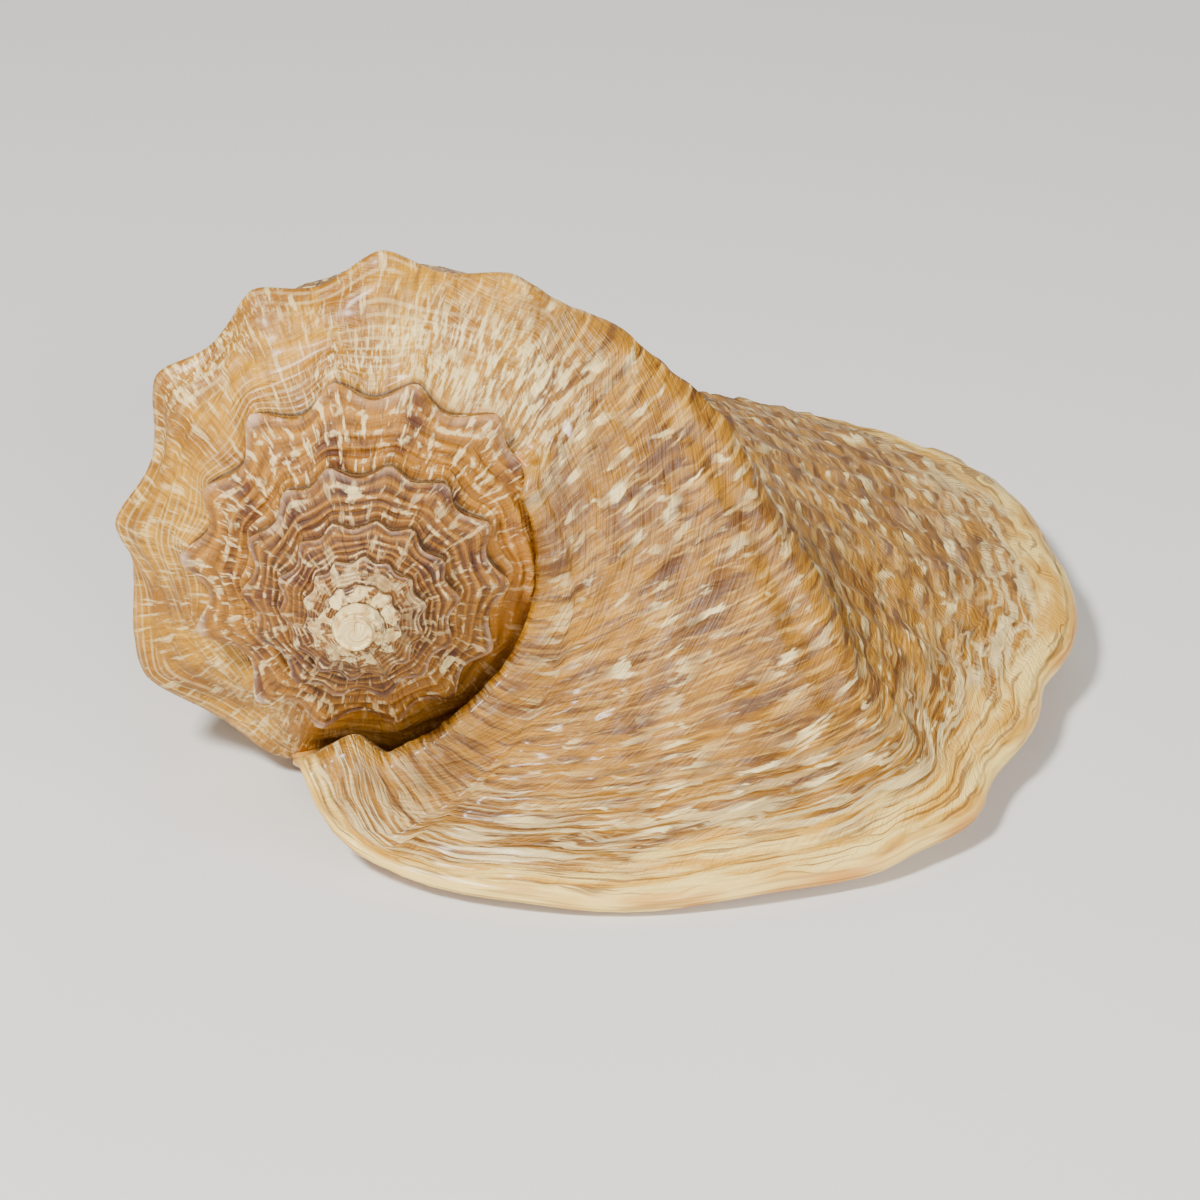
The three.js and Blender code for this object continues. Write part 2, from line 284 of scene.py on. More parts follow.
SCALLOPS = [(0.430, 0.9, 0.020), (0.382, -2.0, 0.016), (0.345, 1.0, 0.018), (0.300, -1.0, 0.016),
            (0.268, 1.2, 0.016), (0.236, -1.1, 0.012), (0.214, 1.1, 0.012), (0.183, -0.9, 0.014),
            (0.140, 0.8, 0.016), (0.105, -0.6, 0.014), (0.520, -0.7, 0.022), (0.570, 0.6, 0.020)]
BROAD_RIDGES = [(0.265, 2.2, 0.020), (0.365, 1.6, 0.022), (0.460, 1.6, 0.022), (0.570, 1.4, 0.024)]
print("the lip's edge has", len(MARGIN), "points and", len(SCALLOPS), "scallops")

# %% [markdown]
# The outer face follows the coil up to age 0. Past it, a share of the way to the
# edge is mixed in. That share rises early on the ramp and late further down, so
# the wing is full beside the spire and hollow along its flank.

# %% The outer face of the whole shell
FLARE_ON_RAMP, FLARE_MORE_BELOW = 1.75, 2.3
FLARE_ALONG = 1.8


def rows_of(parts, place):
    return sum(tall * bump(place, centre, width) for centre, tall, width in parts)


def outer_face(age, place):
    share = np.clip(age / LIP_END, 0, 1)
    end_angle = curve(EDGE_PLACE, EDGE_ANGLE, place)
    bent = end_angle * (1 - (1 - share) ** (LIP_END / end_angle))
    angle = np.where(age > 0, bent, age)
    radius, along = section(angle, place)
    end_radius, end_along = section(end_angle, place)
    flare = share ** (FLARE_ON_RAMP + FLARE_MORE_BELOW * ease(0.22, 0.48, place))
    radius = radius + flare * (curve(EDGE_PLACE, EDGE_RADIUS, place) - end_radius)
    radius = radius + rows_of(BROAD_RIDGES, place) * ease(0.2, 0.5, share) * ease(1, 0.85, share)
    radius = radius + rows_of(SCALLOPS, place) * ease(0.80, 1, share)
    along = along + share**FLARE_ALONG * (curve(EDGE_PLACE, EDGE_ALONG, place) - end_along)
    return from_axis(angle, radius, along)


top = outer_face(np.array([0.0]), np.array([SHOULDER]))[0]
print("the top of the last turn stands at", top.round(1), "mm")

# %% [markdown]
# ## One closed skin
# The skin is a grid of growth lines (columns) and places (rows). The seam row
# of each turn reuses the points of the turn before it, so the spire needs no
# joining. Old turns are tiny, so they get fewer columns: where a fine turn
# meets a coarse one, three triangles share the step.

# %% Columns and rows of the skin
STEPS = 360
SPIRE_ROWS, BAND_ROWS, BODY_ROWS = 36, 5, 80
ROW_CROWDING = 1.15
BAND_END = SPIRE_ROWS + BAND_ROWS
LAST_ROW = BAND_END + BODY_ROWS
STEP_ANGLE = TURN / STEPS
LIP_COLUMN = round(LIP_END / STEP_ANGLE)
DEEP_COLUMN = round(DEEP_START / STEP_ANGLE)
WALL_COLUMN = DEEP_COLUMN - STEPS
FIRST_COLUMN = -TURNS * STEPS
FINE_FROM, MIDDLE_FROM = -200, -840


def in_use(j):
    if j >= FINE_FROM:
        return True
    return j % 2 == 0 if j >= MIDDLE_FROM else j % 4 == 0


columns = [j for j in range(FIRST_COLUMN, LIP_COLUMN + 1) if in_use(j)]
ages = np.array(columns) * STEP_ANGLE
seam = next_seam(ages)[:, None]
on_ramp = seam * np.linspace(0, 1, SPIRE_ROWS + 1)
on_band = seam + SEAM_BAND * np.linspace(0, 1, BAND_ROWS + 1)[1:]
on_body = 1 - (1 - seam - SEAM_BAND) * (1 - np.linspace(0, 1, BODY_ROWS + 1)[1:]) ** ROW_CROWDING
places = np.hstack([on_ramp, on_band, on_body])
AGE = np.repeat(ages[:, None], LAST_ROW + 1, axis=1)
print(len(columns), "growth lines with", LAST_ROW + 1, "places each")

# %% [markdown]
# The wall's inner face lies one thickness inside the outer face. Its direction
# comes from two nearby points each way. The thickness grows towards the lip,
# whose edge is thick and heavy on an old shell.

# %% Outer points, and inner points one wall inside
SHELL_LENGTH = 310.0
DRAWN_LENGTH = 339.0
UNIT = SHELL_LENGTH / DRAWN_LENGTH
WALL_INSIDE, WALL_AT_LIP = 4.6 / UNIT, 9.2 / UNIT
EDGE_TAPER = 0.42
SEAM_WALL = 0.35


def outward(age, place, nudge=1e-3):
    place = np.clip(place, 2 * nudge, 1 - 2 * nudge)
    along = outer_face(age + nudge, place) - outer_face(age - nudge, place)
    down = outer_face(age, place + nudge) - outer_face(age, place - nudge)
    normal = np.cross(along, down)
    return normal / np.linalg.norm(normal, axis=-1, keepdims=True)


def wall(age, place):
    share = age / LIP_END
    thick = WALL_INSIDE + (WALL_AT_LIP - WALL_INSIDE) * ease(0.7, 0.95, share)
    thick = thick * (1 - EDGE_TAPER * ease(0.93, 1, share))
    return thick * ease(1, 0.9, place) * (SEAM_WALL + (1 - SEAM_WALL) * ease(0, 0.14, place))


outer = outer_face(AGE, places)
inner = outer - outward(AGE, places) * wall(AGE, places)[..., None]
row_of = {j: k for k, j in enumerate(columns)}
print("wall from", round(WALL_INSIDE, 1), "mm inside to", round(WALL_AT_LIP, 1), "mm at the lip")

# %% [markdown]
# Each point also carries what the patterns need: how far it lies along the
# growth, how far down the growing edge, how far from the lip's edge, its age in
# turns, its place, how far it is round to the inner side, the knob there, and
# how thickly the animal glazed it over.

# %% Distances along the growth and down the edge
step_length = np.linalg.norm(np.diff(outer, axis=0), axis=2)
on_lip = ease(-20, 60, ages[1:] / DEGREE)
ramp_mean = step_length[:, 4:SPIRE_ROWS].mean(axis=1)
wing_mean = step_length[:, 12:90].mean(axis=1)
grown_by = np.concatenate([[0], np.cumsum(ramp_mean * (1 - on_lip) + wing_mean * on_lip)])
down_edge = np.cumsum(np.linalg.norm(np.diff(outer, axis=1), axis=2), axis=1)
down_edge = np.hstack([np.zeros((len(columns), 1)), down_edge])
to_edge = np.cumsum(np.linalg.norm(np.diff(outer, axis=0), axis=2)[::-1], axis=0)[::-1]
to_edge = np.vstack([to_edge, np.zeros((1, LAST_ROW + 1))])
knob_here = np.maximum(knobs(AGE), 0) * bump(places, SHOULDER, 0.05)
glazed_here = ease(-115, -170, AGE / DEGREE) * ease(0, 0.012, places - seam)
print("growth path", round(grown_by[-1]), "mm, lip edge", round(down_edge[-1, -1]), "mm")

# %% [markdown]
# Each point of the outer side gets a number before the faces are made. The seam
# row takes the numbers of the turn before it, and the first turn closes on the
# apex.

# %% Number the outer points
points, marks, faces = [], [], []


def add_point(xyz, j, i, side):
    k = row_of[j]
    points.append(xyz)
    marks.append((grown_by[k], down_edge[k, i], to_edge[k, i], ages[k] / TURN, places[k, i],
                  side, knob_here[k, i], glazed_here[k, i]))
    return len(points) - 1


def add_face(*corners):
    face = [c for n, c in enumerate(corners) if c != corners[n - 1]]
    if len(face) > 2:
        faces.append(face)


APEX_ALONG = 42.0
first_size = float(size(-TURNS * TURN))
apex = add_point(from_axis(0.0, 0.0, APEX_ALONG * first_size), FIRST_COLUMN, 0, 0)
tip = add_point(from_axis(0.0, 0.0, AXIS_LENGTH), LIP_COLUMN, LAST_ROW, 0)
skin = {}
for j in columns:
    for i in range(LAST_ROW + 1):
        hidden_band = SPIRE_ROWS < i < BAND_END and j < LIP_COLUMN - STEPS
        if hidden_band or (i > SPIRE_ROWS and j < WALL_COLUMN):
            continue
        if i == 0:
            skin[j, 0] = skin.get((j - STEPS, SPIRE_ROWS), None if j - STEPS >= FIRST_COLUMN else apex)
        else:
            skin[j, i] = tip if i == LAST_ROW else add_point(outer[row_of[j], i], j, i, 0)
print(len(points), "points on the outer side")

# %% [markdown]
# Faces join neighbouring growth lines. The outer side is walked one way and the
# inner side the other way, so that all faces point out of the wall.

# %% Faces of the outer side
seam_point = apex
for j, after in zip(columns, columns[1:]):
    seam_point = skin[j, 0] if skin[j, 0] is not None else seam_point
    if skin[after, 0] is None:
        add_face(seam_point, skin[after, 1], skin[j, 1])
    else:
        add_face(seam_point, skin[after, 0], skin[after, 1], skin[j, 1])
    body_start = SPIRE_ROWS if j >= LIP_COLUMN - STEPS else BAND_END
    for i in range(1, LAST_ROW):
        if i < SPIRE_ROWS or (i >= body_start and j >= WALL_COLUMN):
            add_face(skin[j, i], skin[after, i], skin[after, i + 1], skin[j, i + 1])
for i in range(1, SPIRE_ROWS):
    add_face(apex, skin[FIRST_COLUMN, i], skin[FIRST_COLUMN, i + 1])
print(len(faces), "faces on the outer side")

# %% Faces of the inner side
inner_columns = [j for j in columns if j >= DEEP_COLUMN and in_use(j - STEPS)]
lining = {}
for j in inner_columns:
    for i in range(LAST_ROW + 1):
        if i == 0:
            lining[j, 0] = skin[j - STEPS, BAND_END]
        else:
            lining[j, i] = tip if i == LAST_ROW else add_point(inner[row_of[j], i], j, i, 1)
for j, after in zip(inner_columns, inner_columns[1:]):
    for i in range(LAST_ROW):
        add_face(lining[j, i], lining[j, i + 1], lining[after, i + 1], lining[after, i])

# %% [markdown]
# The rim rolls from the outer face round to the inner one in a half circle, a
# little flattened. Deep inside, a plain wall closes the hollow, where nobody
# can look.

# %% Rolled rim and the wall deep inside
RIM_ROUNDNESS = 0.75
lip_ages = AGE[-1]
away = outer[-1] - outer_face(lip_ages - 0.02, places[-1])
away = away / np.maximum(np.linalg.norm(away, axis=1, keepdims=True), 1e-9)
rim = [[skin[LIP_COLUMN - STEPS, SPIRE_ROWS + s] for s in range(BAND_ROWS + 1)]]
for i in range(1, LAST_ROW):
    a, b = skin[LIP_COLUMN, i], lining[LIP_COLUMN, i]
    across = points[b] - points[a]
    reach = RIM_ROUNDNESS * np.linalg.norm(across) * away[i]
    row = [a]
    for s in range(1, BAND_ROWS):
        turned = math.pi * s / BAND_ROWS
        xyz = points[a] + across * (1 - math.cos(turned)) / 2 + reach * math.sin(turned)
        row.append(add_point(xyz, LIP_COLUMN, i, s / BAND_ROWS))
    rim.append(row + [b])
rim.append([tip] * (BAND_ROWS + 1))
for i in range(LAST_ROW):
    for s in range(BAND_ROWS):
        add_face(rim[i][s], rim[i][s + 1], rim[i + 1][s + 1], rim[i + 1][s])

a, b = 0, BAND_END
while a < LAST_ROW or b < LAST_ROW:
    if b == LAST_ROW or (a < LAST_ROW and a / LAST_ROW <= (b - BAND_END) / BODY_ROWS):
        add_face(lining[DEEP_COLUMN, a + 1], lining[DEEP_COLUMN, a], skin[WALL_COLUMN, b])
        a += 1
    else:
        add_face(skin[WALL_COLUMN, b], skin[WALL_COLUMN, b + 1], lining[DEEP_COLUMN, a])
        b += 1
print(len(points), "points,", sum(len(face) - 2 for face in faces), "triangles")

# %% [markdown]
# ## Into the solid's own box
# One even scale turns the drawing into metres. The middle and the top of the
# skin are set on the middle and the top of the solid's box.

# %% Scale to the solid's box and store the marks
low, high = np.array(solid_box[0]), np.array(solid_box[1])
drawn = np.array(points)
drawn_low, drawn_high = drawn.min(axis=0), drawn.max(axis=0)
GROW = UNIT / 1000
GROUND = (low + high) / 2 - (drawn_low + drawn_high) / 2 * GROW
GROUND[2] = high[2] - drawn_high[2] * GROW


def to_metres(xyz):
    return np.asarray(xyz) * GROW + GROUND


base = bpy.data.meshes.new("shell skin")
base.from_pydata(to_metres(drawn).tolist(), [], faces)
base.shade_smooth()
MARKS = ["grown", "down", "to_edge", "turns", "place", "side", "knob", "glazed"]
TO_METRES = [0.001 * UNIT] * 3 + [1] * 5
for k, name in enumerate(MARKS):
    values = np.array([m[k] for m in marks], dtype=np.float32) * TO_METRES[k]
    base.attributes.new(name, "FLOAT", "POINT").data.foreach_set("value", values)
shell = bpy.data.objects.new("conch_shell", base)
bpy.context.collection.objects.link(shell)
print("skin height", round((drawn_high - drawn_low)[2] * GROW, 4), "m")

# %% [markdown]
# ## Ribs, ridges and growth lines
# The relief repeats over the whole surface and follows it, so a node tree makes
# it: it reads the marks stored above and pushes every point out along its own
# normal. Growth ripples are long in the direction of the edge and short along
# the growth. Spiral cords run the other way. Where both meet on the wing, they
# make rows of low bumps.

# %% Helpers for building node trees
def feed(tree, socket, value):
    if isinstance(value, bpy.types.NodeSocket):
        tree.links.new(value, socket)
    else:
        socket.default_value = value


def maths(tree, operation, *values, clamp=False):
    node = tree.nodes.new("ShaderNodeMath")
    node.operation, node.use_clamp = operation, clamp
    for socket, value in zip(node.inputs, values):
        feed(tree, socket, value)
    return node.outputs[0]


def fade(tree, value, start, end):
    node = tree.nodes.new("ShaderNodeMapRange")
    node.interpolation_type = "SMOOTHSTEP"
    feed(tree, node.inputs["Value"], value)
    feed(tree, node.inputs["From Min"], start)
    feed(tree, node.inputs["From Max"], end)
    return node.outputs["Result"]


def vector(tree, x, y, z=0.0):
    node = tree.nodes.new("ShaderNodeCombineXYZ")
    for socket, value in zip(node.inputs, (x, y, z)):
        feed(tree, socket, value)
    return node.outputs[0]


def noise(tree, at, detail=2.0, roughness=0.5, distortion=0.0):
    node = tree.nodes.new("ShaderNodeTexNoise")
    feed(tree, node.inputs["Vector"], at)
    node.inputs["Scale"].default_value = 1.0
    node.inputs["Detail"].default_value = detail
    node.inputs["Roughness"].default_value = roughness
    node.inputs["Distortion"].default_value = distortion
    return node.outputs[0]


def stretched_noise(tree, along, down, length, width, seed, **kind):
    x = maths(tree, "DIVIDE", along, length)
    y = maths(tree, "DIVIDE", down, width)
    return noise(tree, vector(tree, x, y, seed), **kind)


def centred(tree, value, gain=2.0):
    return maths(tree, "MULTIPLY", maths(tree, "SUBTRACT", value, 0.5), gain)


# %% The relief tree and its named inputs
relief = bpy.data.node_groups.new("shell relief", "GeometryNodeTree")
relief.is_modifier = True
relief.interface.new_socket("Geometry", in_out="OUTPUT", socket_type="NodeSocketGeometry")
relief.interface.new_socket("Geometry", in_out="INPUT", socket_type="NodeSocketGeometry")
RELIEF_SIZES = {
    "Ripple Height": 0.00060, "Ripple Spacing": 0.0040, "Ridge Height": 0.00060,
    "Ridges": 31.0, "Bump Height": 0.00120, "Cord Height": 0.00065, "Cords": 22.0,
    "Layer Height": 0.0012, "Keel Height": 0.0012, "Seed": 3.0,
}
for name, value in RELIEF_SIZES.items():
    socket = relief.interface.new_socket(name, in_out="INPUT", socket_type="NodeSocketFloat")
    socket.default_value = value
relief.interface.new_socket("Material", in_out="INPUT", socket_type="NodeSocketMaterial")
given = relief.nodes.new("NodeGroupInput").outputs


def mark(name):
    node = relief.nodes.new("GeometryNodeInputNamedAttribute")
    node.data_type = "FLOAT"
    node.inputs["Name"].default_value = name
    return node.outputs["Attribute"]


grown, down, from_lip, turns, place, side = [mark(name) for name in MARKS[:6]]
glaze, seed = mark("glazed"), given["Seed"]
grown = maths(relief, "MULTIPLY_ADD", side, 0.012, grown)

# %% [markdown]
# First come the masks: where the wing is, where the spire is, and where the
# last layers of the lip lie. Then the growth path is made a little wavy, since
# no growth line on a real shell is perfectly even.

# %% Masks and a wavy growth path
on_wing = fade(relief, turns, 0.05, 0.28)
late_growth = fade(relief, turns, 0.3, 0.45)
near_edge = maths(relief, "MULTIPLY", fade(relief, from_lip, 0.045, 0.012), late_growth)
near_edge = maths(relief, "MULTIPLY", near_edge, fade(relief, place, 0.03, 0.12))
on_spire = fade(relief, turns, 0.10, -0.06)
below_seam = fade(relief, place, 0.0, 0.05)
before_tip = fade(relief, place, 0.98, 0.90)
outside = maths(relief, "MULTIPLY", fade(relief, side, 0.6, 0.1), fade(relief, glaze, 0.9, 0.3))
inside = fade(relief, side, 0.6, 1.0)
wave = stretched_noise(relief, grown, down, 0.060, 0.030, seed, detail=1.0)
wavy = maths(relief, "MULTIPLY_ADD", centred(relief, wave), 0.0045, grown)

# %% Growth ripples, everywhere but strongest on the wing
ripple_x = maths(relief, "DIVIDE", wavy, given["Ripple Spacing"])
ripple_y = maths(relief, "DIVIDE", down, 0.045)
ripple = centred(relief, noise(relief, vector(relief, ripple_x, ripple_y, seed), detail=1.5))
ripple_gain = maths(relief, "MULTIPLY_ADD", on_wing, 0.75, 0.25)
ripple = maths(relief, "MULTIPLY", ripple, ripple_gain)
ripples = maths(relief, "MULTIPLY", ripple, given["Ripple Height"])

# %% [markdown]
# Ridges are a sine wave over the place, with a slow wander so that they don't
# run dead even. Short noise puts the bumps on them.

# %% Spiral ridges and rows of bumps on the wing
wander = stretched_noise(relief, grown, down, 0.070, 0.200, 7.0, detail=0.0)
ridge_turn = maths(relief, "MULTIPLY", place, given["Ridges"])
ridge_turn = maths(relief, "ADD", ridge_turn, centred(relief, wander, 1.6))
ridge = maths(relief, "SINE", maths(relief, "MULTIPLY", ridge_turn, TURN))
body_share = maths(relief, "MULTIPLY", fade(relief, place, 0.27, 0.34), 0.40)
ridge_gain = maths(relief, "MAXIMUM", on_wing, body_share)
ridge_mask = maths(relief, "MULTIPLY", ridge_gain, fade(relief, from_lip, 0.006, 0.025))
ridge_mask = maths(relief, "MULTIPLY", ridge_mask, maths(relief, "MULTIPLY", below_seam, before_tip))
ridges = maths(relief, "MULTIPLY", maths(relief, "MULTIPLY", ridge, ridge_mask), given["Ridge Height"])
lump = stretched_noise(relief, wavy, down, 0.0075, 0.0110, 11.0, detail=1.0)
lumps = maths(relief, "MULTIPLY", fade(relief, lump, 0.42, 0.72), ridge_mask)
lumps = maths(relief, "MULTIPLY", lumps, given["Bump Height"])

# %% Spiral cords on the ramp and the spire
cord_turn = maths(relief, "MULTIPLY", place, given["Cords"])
cord = maths(relief, "SINE", maths(relief, "MULTIPLY", cord_turn, TURN))
cord_scale = maths(relief, "MAXIMUM", maths(relief, "MULTIPLY_ADD", turns, 0.22, 1.0), 0.12)
cords = maths(relief, "MULTIPLY", maths(relief, "MULTIPLY", cord, on_spire), given["Cord Height"])
cords = maths(relief, "MULTIPLY", cords, maths(relief, "MULTIPLY", cord_scale, below_seam))
cords = maths(relief, "MULTIPLY", cords, fade(relief, place, 0.30, 0.26))
cord_patch = stretched_noise(relief, grown, down, 0.030, 0.012, 37.0, detail=1.0)
cord_parts = fade(relief, cord_patch, 0.38, 0.60)
cords = maths(relief, "MULTIPLY", cords, maths(relief, "MULTIPLY_ADD", cord_parts, 0.70, 0.30))

# %% [markdown]
# Near the edge the last layers lie like thin sheets: a slow rise and a quick
# drop, every five millimetres. The keel is one blunt ridge on the shoulder's
# line that runs on across the wing.

# %% Stacked layers near the edge of the lip, and the keel across the wing
LAYER_STEP = 0.0050
KEEL_PLACE, KEEL_SHARPNESS = 0.256, 3000.0
layer_wave = stretched_noise(relief, grown, down, 0.030, 0.022, 19.0, detail=2.0)
layer_path = maths(relief, "MULTIPLY_ADD", centred(relief, layer_wave), LAYER_STEP, from_lip)
layer = maths(relief, "FRACT", maths(relief, "DIVIDE", layer_path, LAYER_STEP))
layer = maths(relief, "MULTIPLY", fade(relief, layer, 0.0, 0.75), fade(relief, layer, 1.0, 0.84))
layers = maths(relief, "MULTIPLY", maths(relief, "MULTIPLY", layer, near_edge), given["Layer Height"])
from_keel = maths(relief, "SUBTRACT", place, KEEL_PLACE)
from_keel = maths(relief, "MULTIPLY", from_keel, from_keel)
keel = maths(relief, "EXPONENT", maths(relief, "MULTIPLY", from_keel, -KEEL_SHARPNESS))
keel_blob = stretched_noise(relief, grown, down, 0.010, 0.300, 23.0, detail=0.0)
keel = maths(relief, "MULTIPLY", keel, fade(relief, keel_blob, 0.30, 0.62))
keel = maths(relief, "MULTIPLY", keel, maths(relief, "MULTIPLY", ridge_mask, given["Keel Height"]))

# %% Add the heights up and push the skin out
outer_height = maths(relief, "ADD", ripples, ridges)
for more in (lumps, cords, layers, keel):
    outer_height = maths(relief, "ADD", outer_height, more)
soft_wave = stretched_noise(relief, grown, down, 0.020, 0.060, 29.0, detail=1.0)
inner_height = maths(relief, "MULTIPLY", centred(relief, soft_wave), 0.00030)
height = maths(relief, "MULTIPLY", outer_height, maths(relief, "MULTIPLY", outside, before_tip))
height = maths(relief, "ADD", height, maths(relief, "MULTIPLY", inner_height, inside))
normal = relief.nodes.new("GeometryNodeInputNormal")
push = relief.nodes.new("ShaderNodeVectorMath")
push.operation = "SCALE"
feed(relief, push.inputs[0], normal.outputs[0])
feed(relief, push.inputs["Scale"], height)
move = relief.nodes.new("GeometryNodeSetPosition")
feed(relief, move.inputs["Geometry"], given["Geometry"])
feed(relief, move.inputs["Offset"], push.outputs[0])
realize = relief.nodes.new("GeometryNodeRealizeInstances")
feed(relief, realize.inputs["Geometry"], move.outputs["Geometry"])
paint = relief.nodes.new("GeometryNodeSetMaterial")
feed(relief, paint.inputs["Geometry"], realize.outputs["Geometry"])
feed(relief, paint.inputs["Material"], given["Material"])
relief_out = relief.nodes.new("NodeGroupOutput")
feed(relief, relief_out.inputs[0], paint.outputs["Geometry"])
print("relief tree has", len(relief.nodes), "nodes")

# %% [markdown]
# ## Patterns that follow the growth
# Every colour on the shell was laid down at the open edge, so streaks run along
# the growth lines and blotches repeat from one line to the next. One shader
# group makes them all: noise that is short along the growth, long down the
# edge, and a little wavy. Each finish gives it its own spacing and length in
# metres, two limits between which the mask fades, a seed and a waviness.

# %% Shader group for streaks along the growth lines
streak = bpy.data.node_groups.new("growth streaks", "ShaderNodeTree")
STREAK_INPUTS = {"Grown": 0.0, "Down": 0.0, "Spacing": 0.004, "Length": 0.03,
                 "Waviness": 0.004, "Low": 0.5, "High": 0.6, "Seed": 0.0}
for name, value in STREAK_INPUTS.items():
    socket = streak.interface.new_socket(name, in_out="INPUT", socket_type="NodeSocketFloat")
    socket.default_value = value
streak.interface.new_socket("Mask", in_out="OUTPUT", socket_type="NodeSocketFloat")
streak.interface.new_socket("Grain", in_out="OUTPUT", socket_type="NodeSocketFloat")
wanted = streak.nodes.new("NodeGroupInput").outputs
bend = stretched_noise(streak, wanted["Grown"], wanted["Down"], 0.040, 0.018, wanted["Seed"], detail=2.0)
bend = maths(streak, "MULTIPLY", centred(streak, bend), wanted["Waviness"])
bent = maths(streak, "ADD", wanted["Grown"], bend)
streak_x = maths(streak, "DIVIDE", bent, wanted["Spacing"])
streak_y = maths(streak, "DIVIDE", wanted["Down"], wanted["Length"])
grain = noise(streak, vector(streak, streak_x, streak_y, wanted["Seed"]), detail=3.0, roughness=0.55)
streak_out = streak.nodes.new("NodeGroupOutput")
feed(streak, streak_out.inputs["Mask"], fade(streak, grain, wanted["Low"], wanted["High"]))
feed(streak, streak_out.inputs["Grain"], grain)

# %% The shell's material and its marks
finish = bpy.data.materials.new("streaked shell")
finish.use_nodes = True
look = finish.node_tree
look.nodes.clear()


def shader_mark(name):
    node = look.nodes.new("ShaderNodeAttribute")
    node.attribute_type = "GEOMETRY"
    node.attribute_name = name
    return node.outputs["Fac"]


shader_marks = [shader_mark(name) for name in MARKS]
s_grown, s_down, s_edge, s_turns, s_place, s_side, s_knob, s_glazed = shader_marks
s_grown = maths(look, "MULTIPLY_ADD", s_side, 0.012, s_grown)


def streaks(spacing, length, low, high, seed, waviness=0.004, out="Mask"):
    node = look.nodes.new("ShaderNodeGroup")
    node.node_tree = streak
    settings = (s_grown, s_down, spacing, length, waviness, low, high, seed)
    for socket, value in zip(node.inputs, settings):
        feed(look, socket, value)
    return node.outputs[out]


def paint_colour(red, green, blue):
    parts = [part / 255 for part in (red, green, blue)]
    return [((part + 0.055) / 1.055) ** 2.4 if part > 0.04 else part / 12.92 for part in parts] + [1]


def mix(mask, below, above, mode="MIX"):
    node = look.nodes.new("ShaderNodeMix")
    node.data_type, node.blend_type = "RGBA", mode
    feed(look, node.inputs[0], mask)
    feed(look, node.inputs[6], below)
    feed(look, node.inputs[7], above)
    return node.outputs[2]


def share(mask, amount):
    return maths(look, "MULTIPLY", mask, amount)


# %% [markdown]
# ## Colours of the wing
# The wing is caramel with darker streaks and cream blotches, all drawn out
# along the growth lines. The last centimetre before the edge is pale straw,
# with thin tan lines where one layer ends on the next.

# %% Wing colours
CARAMEL, GOLD = paint_colour(120, 74, 3), paint_colour(176, 120, 10)
DARK_STREAK, CREAM = paint_colour(88, 48, 0), paint_colour(255, 232, 164)
BUFF = paint_colour(246, 196, 100)
drift = stretched_noise(look, s_grown, s_down, 0.070, 0.200, 7.0, detail=0.0)
crest = maths(look, "MULTIPLY_ADD", s_place, RELIEF_SIZES["Ridges"], centred(look, drift, 1.6))
crest = maths(look, "SINE", maths(look, "MULTIPLY", crest, TURN))
on_crest = maths(look, "MULTIPLY_ADD", fade(look, crest, -1.0, 0.7), 0.75, 0.25)
near_lip = maths(look, "MULTIPLY", fade(look, s_edge, 0.036, 0.008), fade(look, s_turns, 0.25, 0.4))
off_seam = maths(look, "MULTIPLY_ADD", fade(look, s_place, 0.02, 0.17), 0.65, 0.35)
patches = streaks(0.020, 0.030, 0.35, 0.65, 41.0, 0.02)
wing = mix(patches, CARAMEL, GOLD)
wing = mix(share(streaks(0.0020, 0.020, 0.46, 0.62, 43.0, 0.003), 0.85), wing, DARK_STREAK)
wing = mix(share(streaks(0.0036, 0.0160, 0.50, 0.66, 45.0, 0.004), 0.60), wing, GOLD)
blotch = maths(look, "MULTIPLY", streaks(0.0030, 0.0140, 0.545, 0.61, 47.0, 0.004), on_crest)
gathered = maths(look, "MULTIPLY_ADD", streaks(0.026, 0.034, 0.40, 0.58, 48.0, 0.02), 0.60, 0.40)
blotch = maths(look, "MULTIPLY", blotch, gathered)
wing = mix(maths(look, "MULTIPLY", blotch, off_seam), wing, CREAM)
cream_lines = maths(look, "MULTIPLY", streaks(0.0013, 0.0160, 0.51, 0.63, 53.0, 0.002), off_seam)
wing = mix(share(cream_lines, 0.40), wing, BUFF)
wing = mix(share(streaks(0.0009, 0.0140, 0.52, 0.64, 59.0, 0.002), 0.42), wing, DARK_STREAK)
pale_lines = maths(look, "MULTIPLY", streaks(0.0022, 0.0300, 0.47, 0.58, 60.0, 0.005), near_lip)
wing = mix(share(pale_lines, 0.60), wing, CREAM)

# %% Pale layers at the edge of the lip
STRAW, PALE = paint_colour(216, 160, 48), paint_colour(254, 220, 124)
TAN = paint_colour(122, 70, 10)
band = mix(streaks(0.0060, 0.030, 0.40, 0.62, 61.0), STRAW, PALE)
band = mix(share(streaks(0.0016, 0.035, 0.52, 0.62, 67.0, 0.004), 0.75), band, TAN)
band_noise = streaks(0.016, 0.030, 0.0, 1.0, 71.0, 0.01, "Grain")
narrow = maths(look, "MULTIPLY_ADD", fade(look, s_place, 0.16, 0.05), 3.0, 1.0)
edge_path = maths(look, "MULTIPLY", s_edge, narrow)
band_path = maths(look, "MULTIPLY_ADD", centred(look, band_noise), 0.014, edge_path)
in_band = maths(look, "MULTIPLY", fade(look, band_path, 0.0135, 0.0065), fade(look, s_turns, 0.35, 0.45))

# %% [markdown]
# ## Colours of the last turn's ramp and the spire
# The ramp of the last turn is golden, with fine pale lines where growth lines
# and cords cross. The old turns are chestnut and plum with dark spiral grooves,
# flecked with cream, worn pale on the knobs and ivory at the very top.

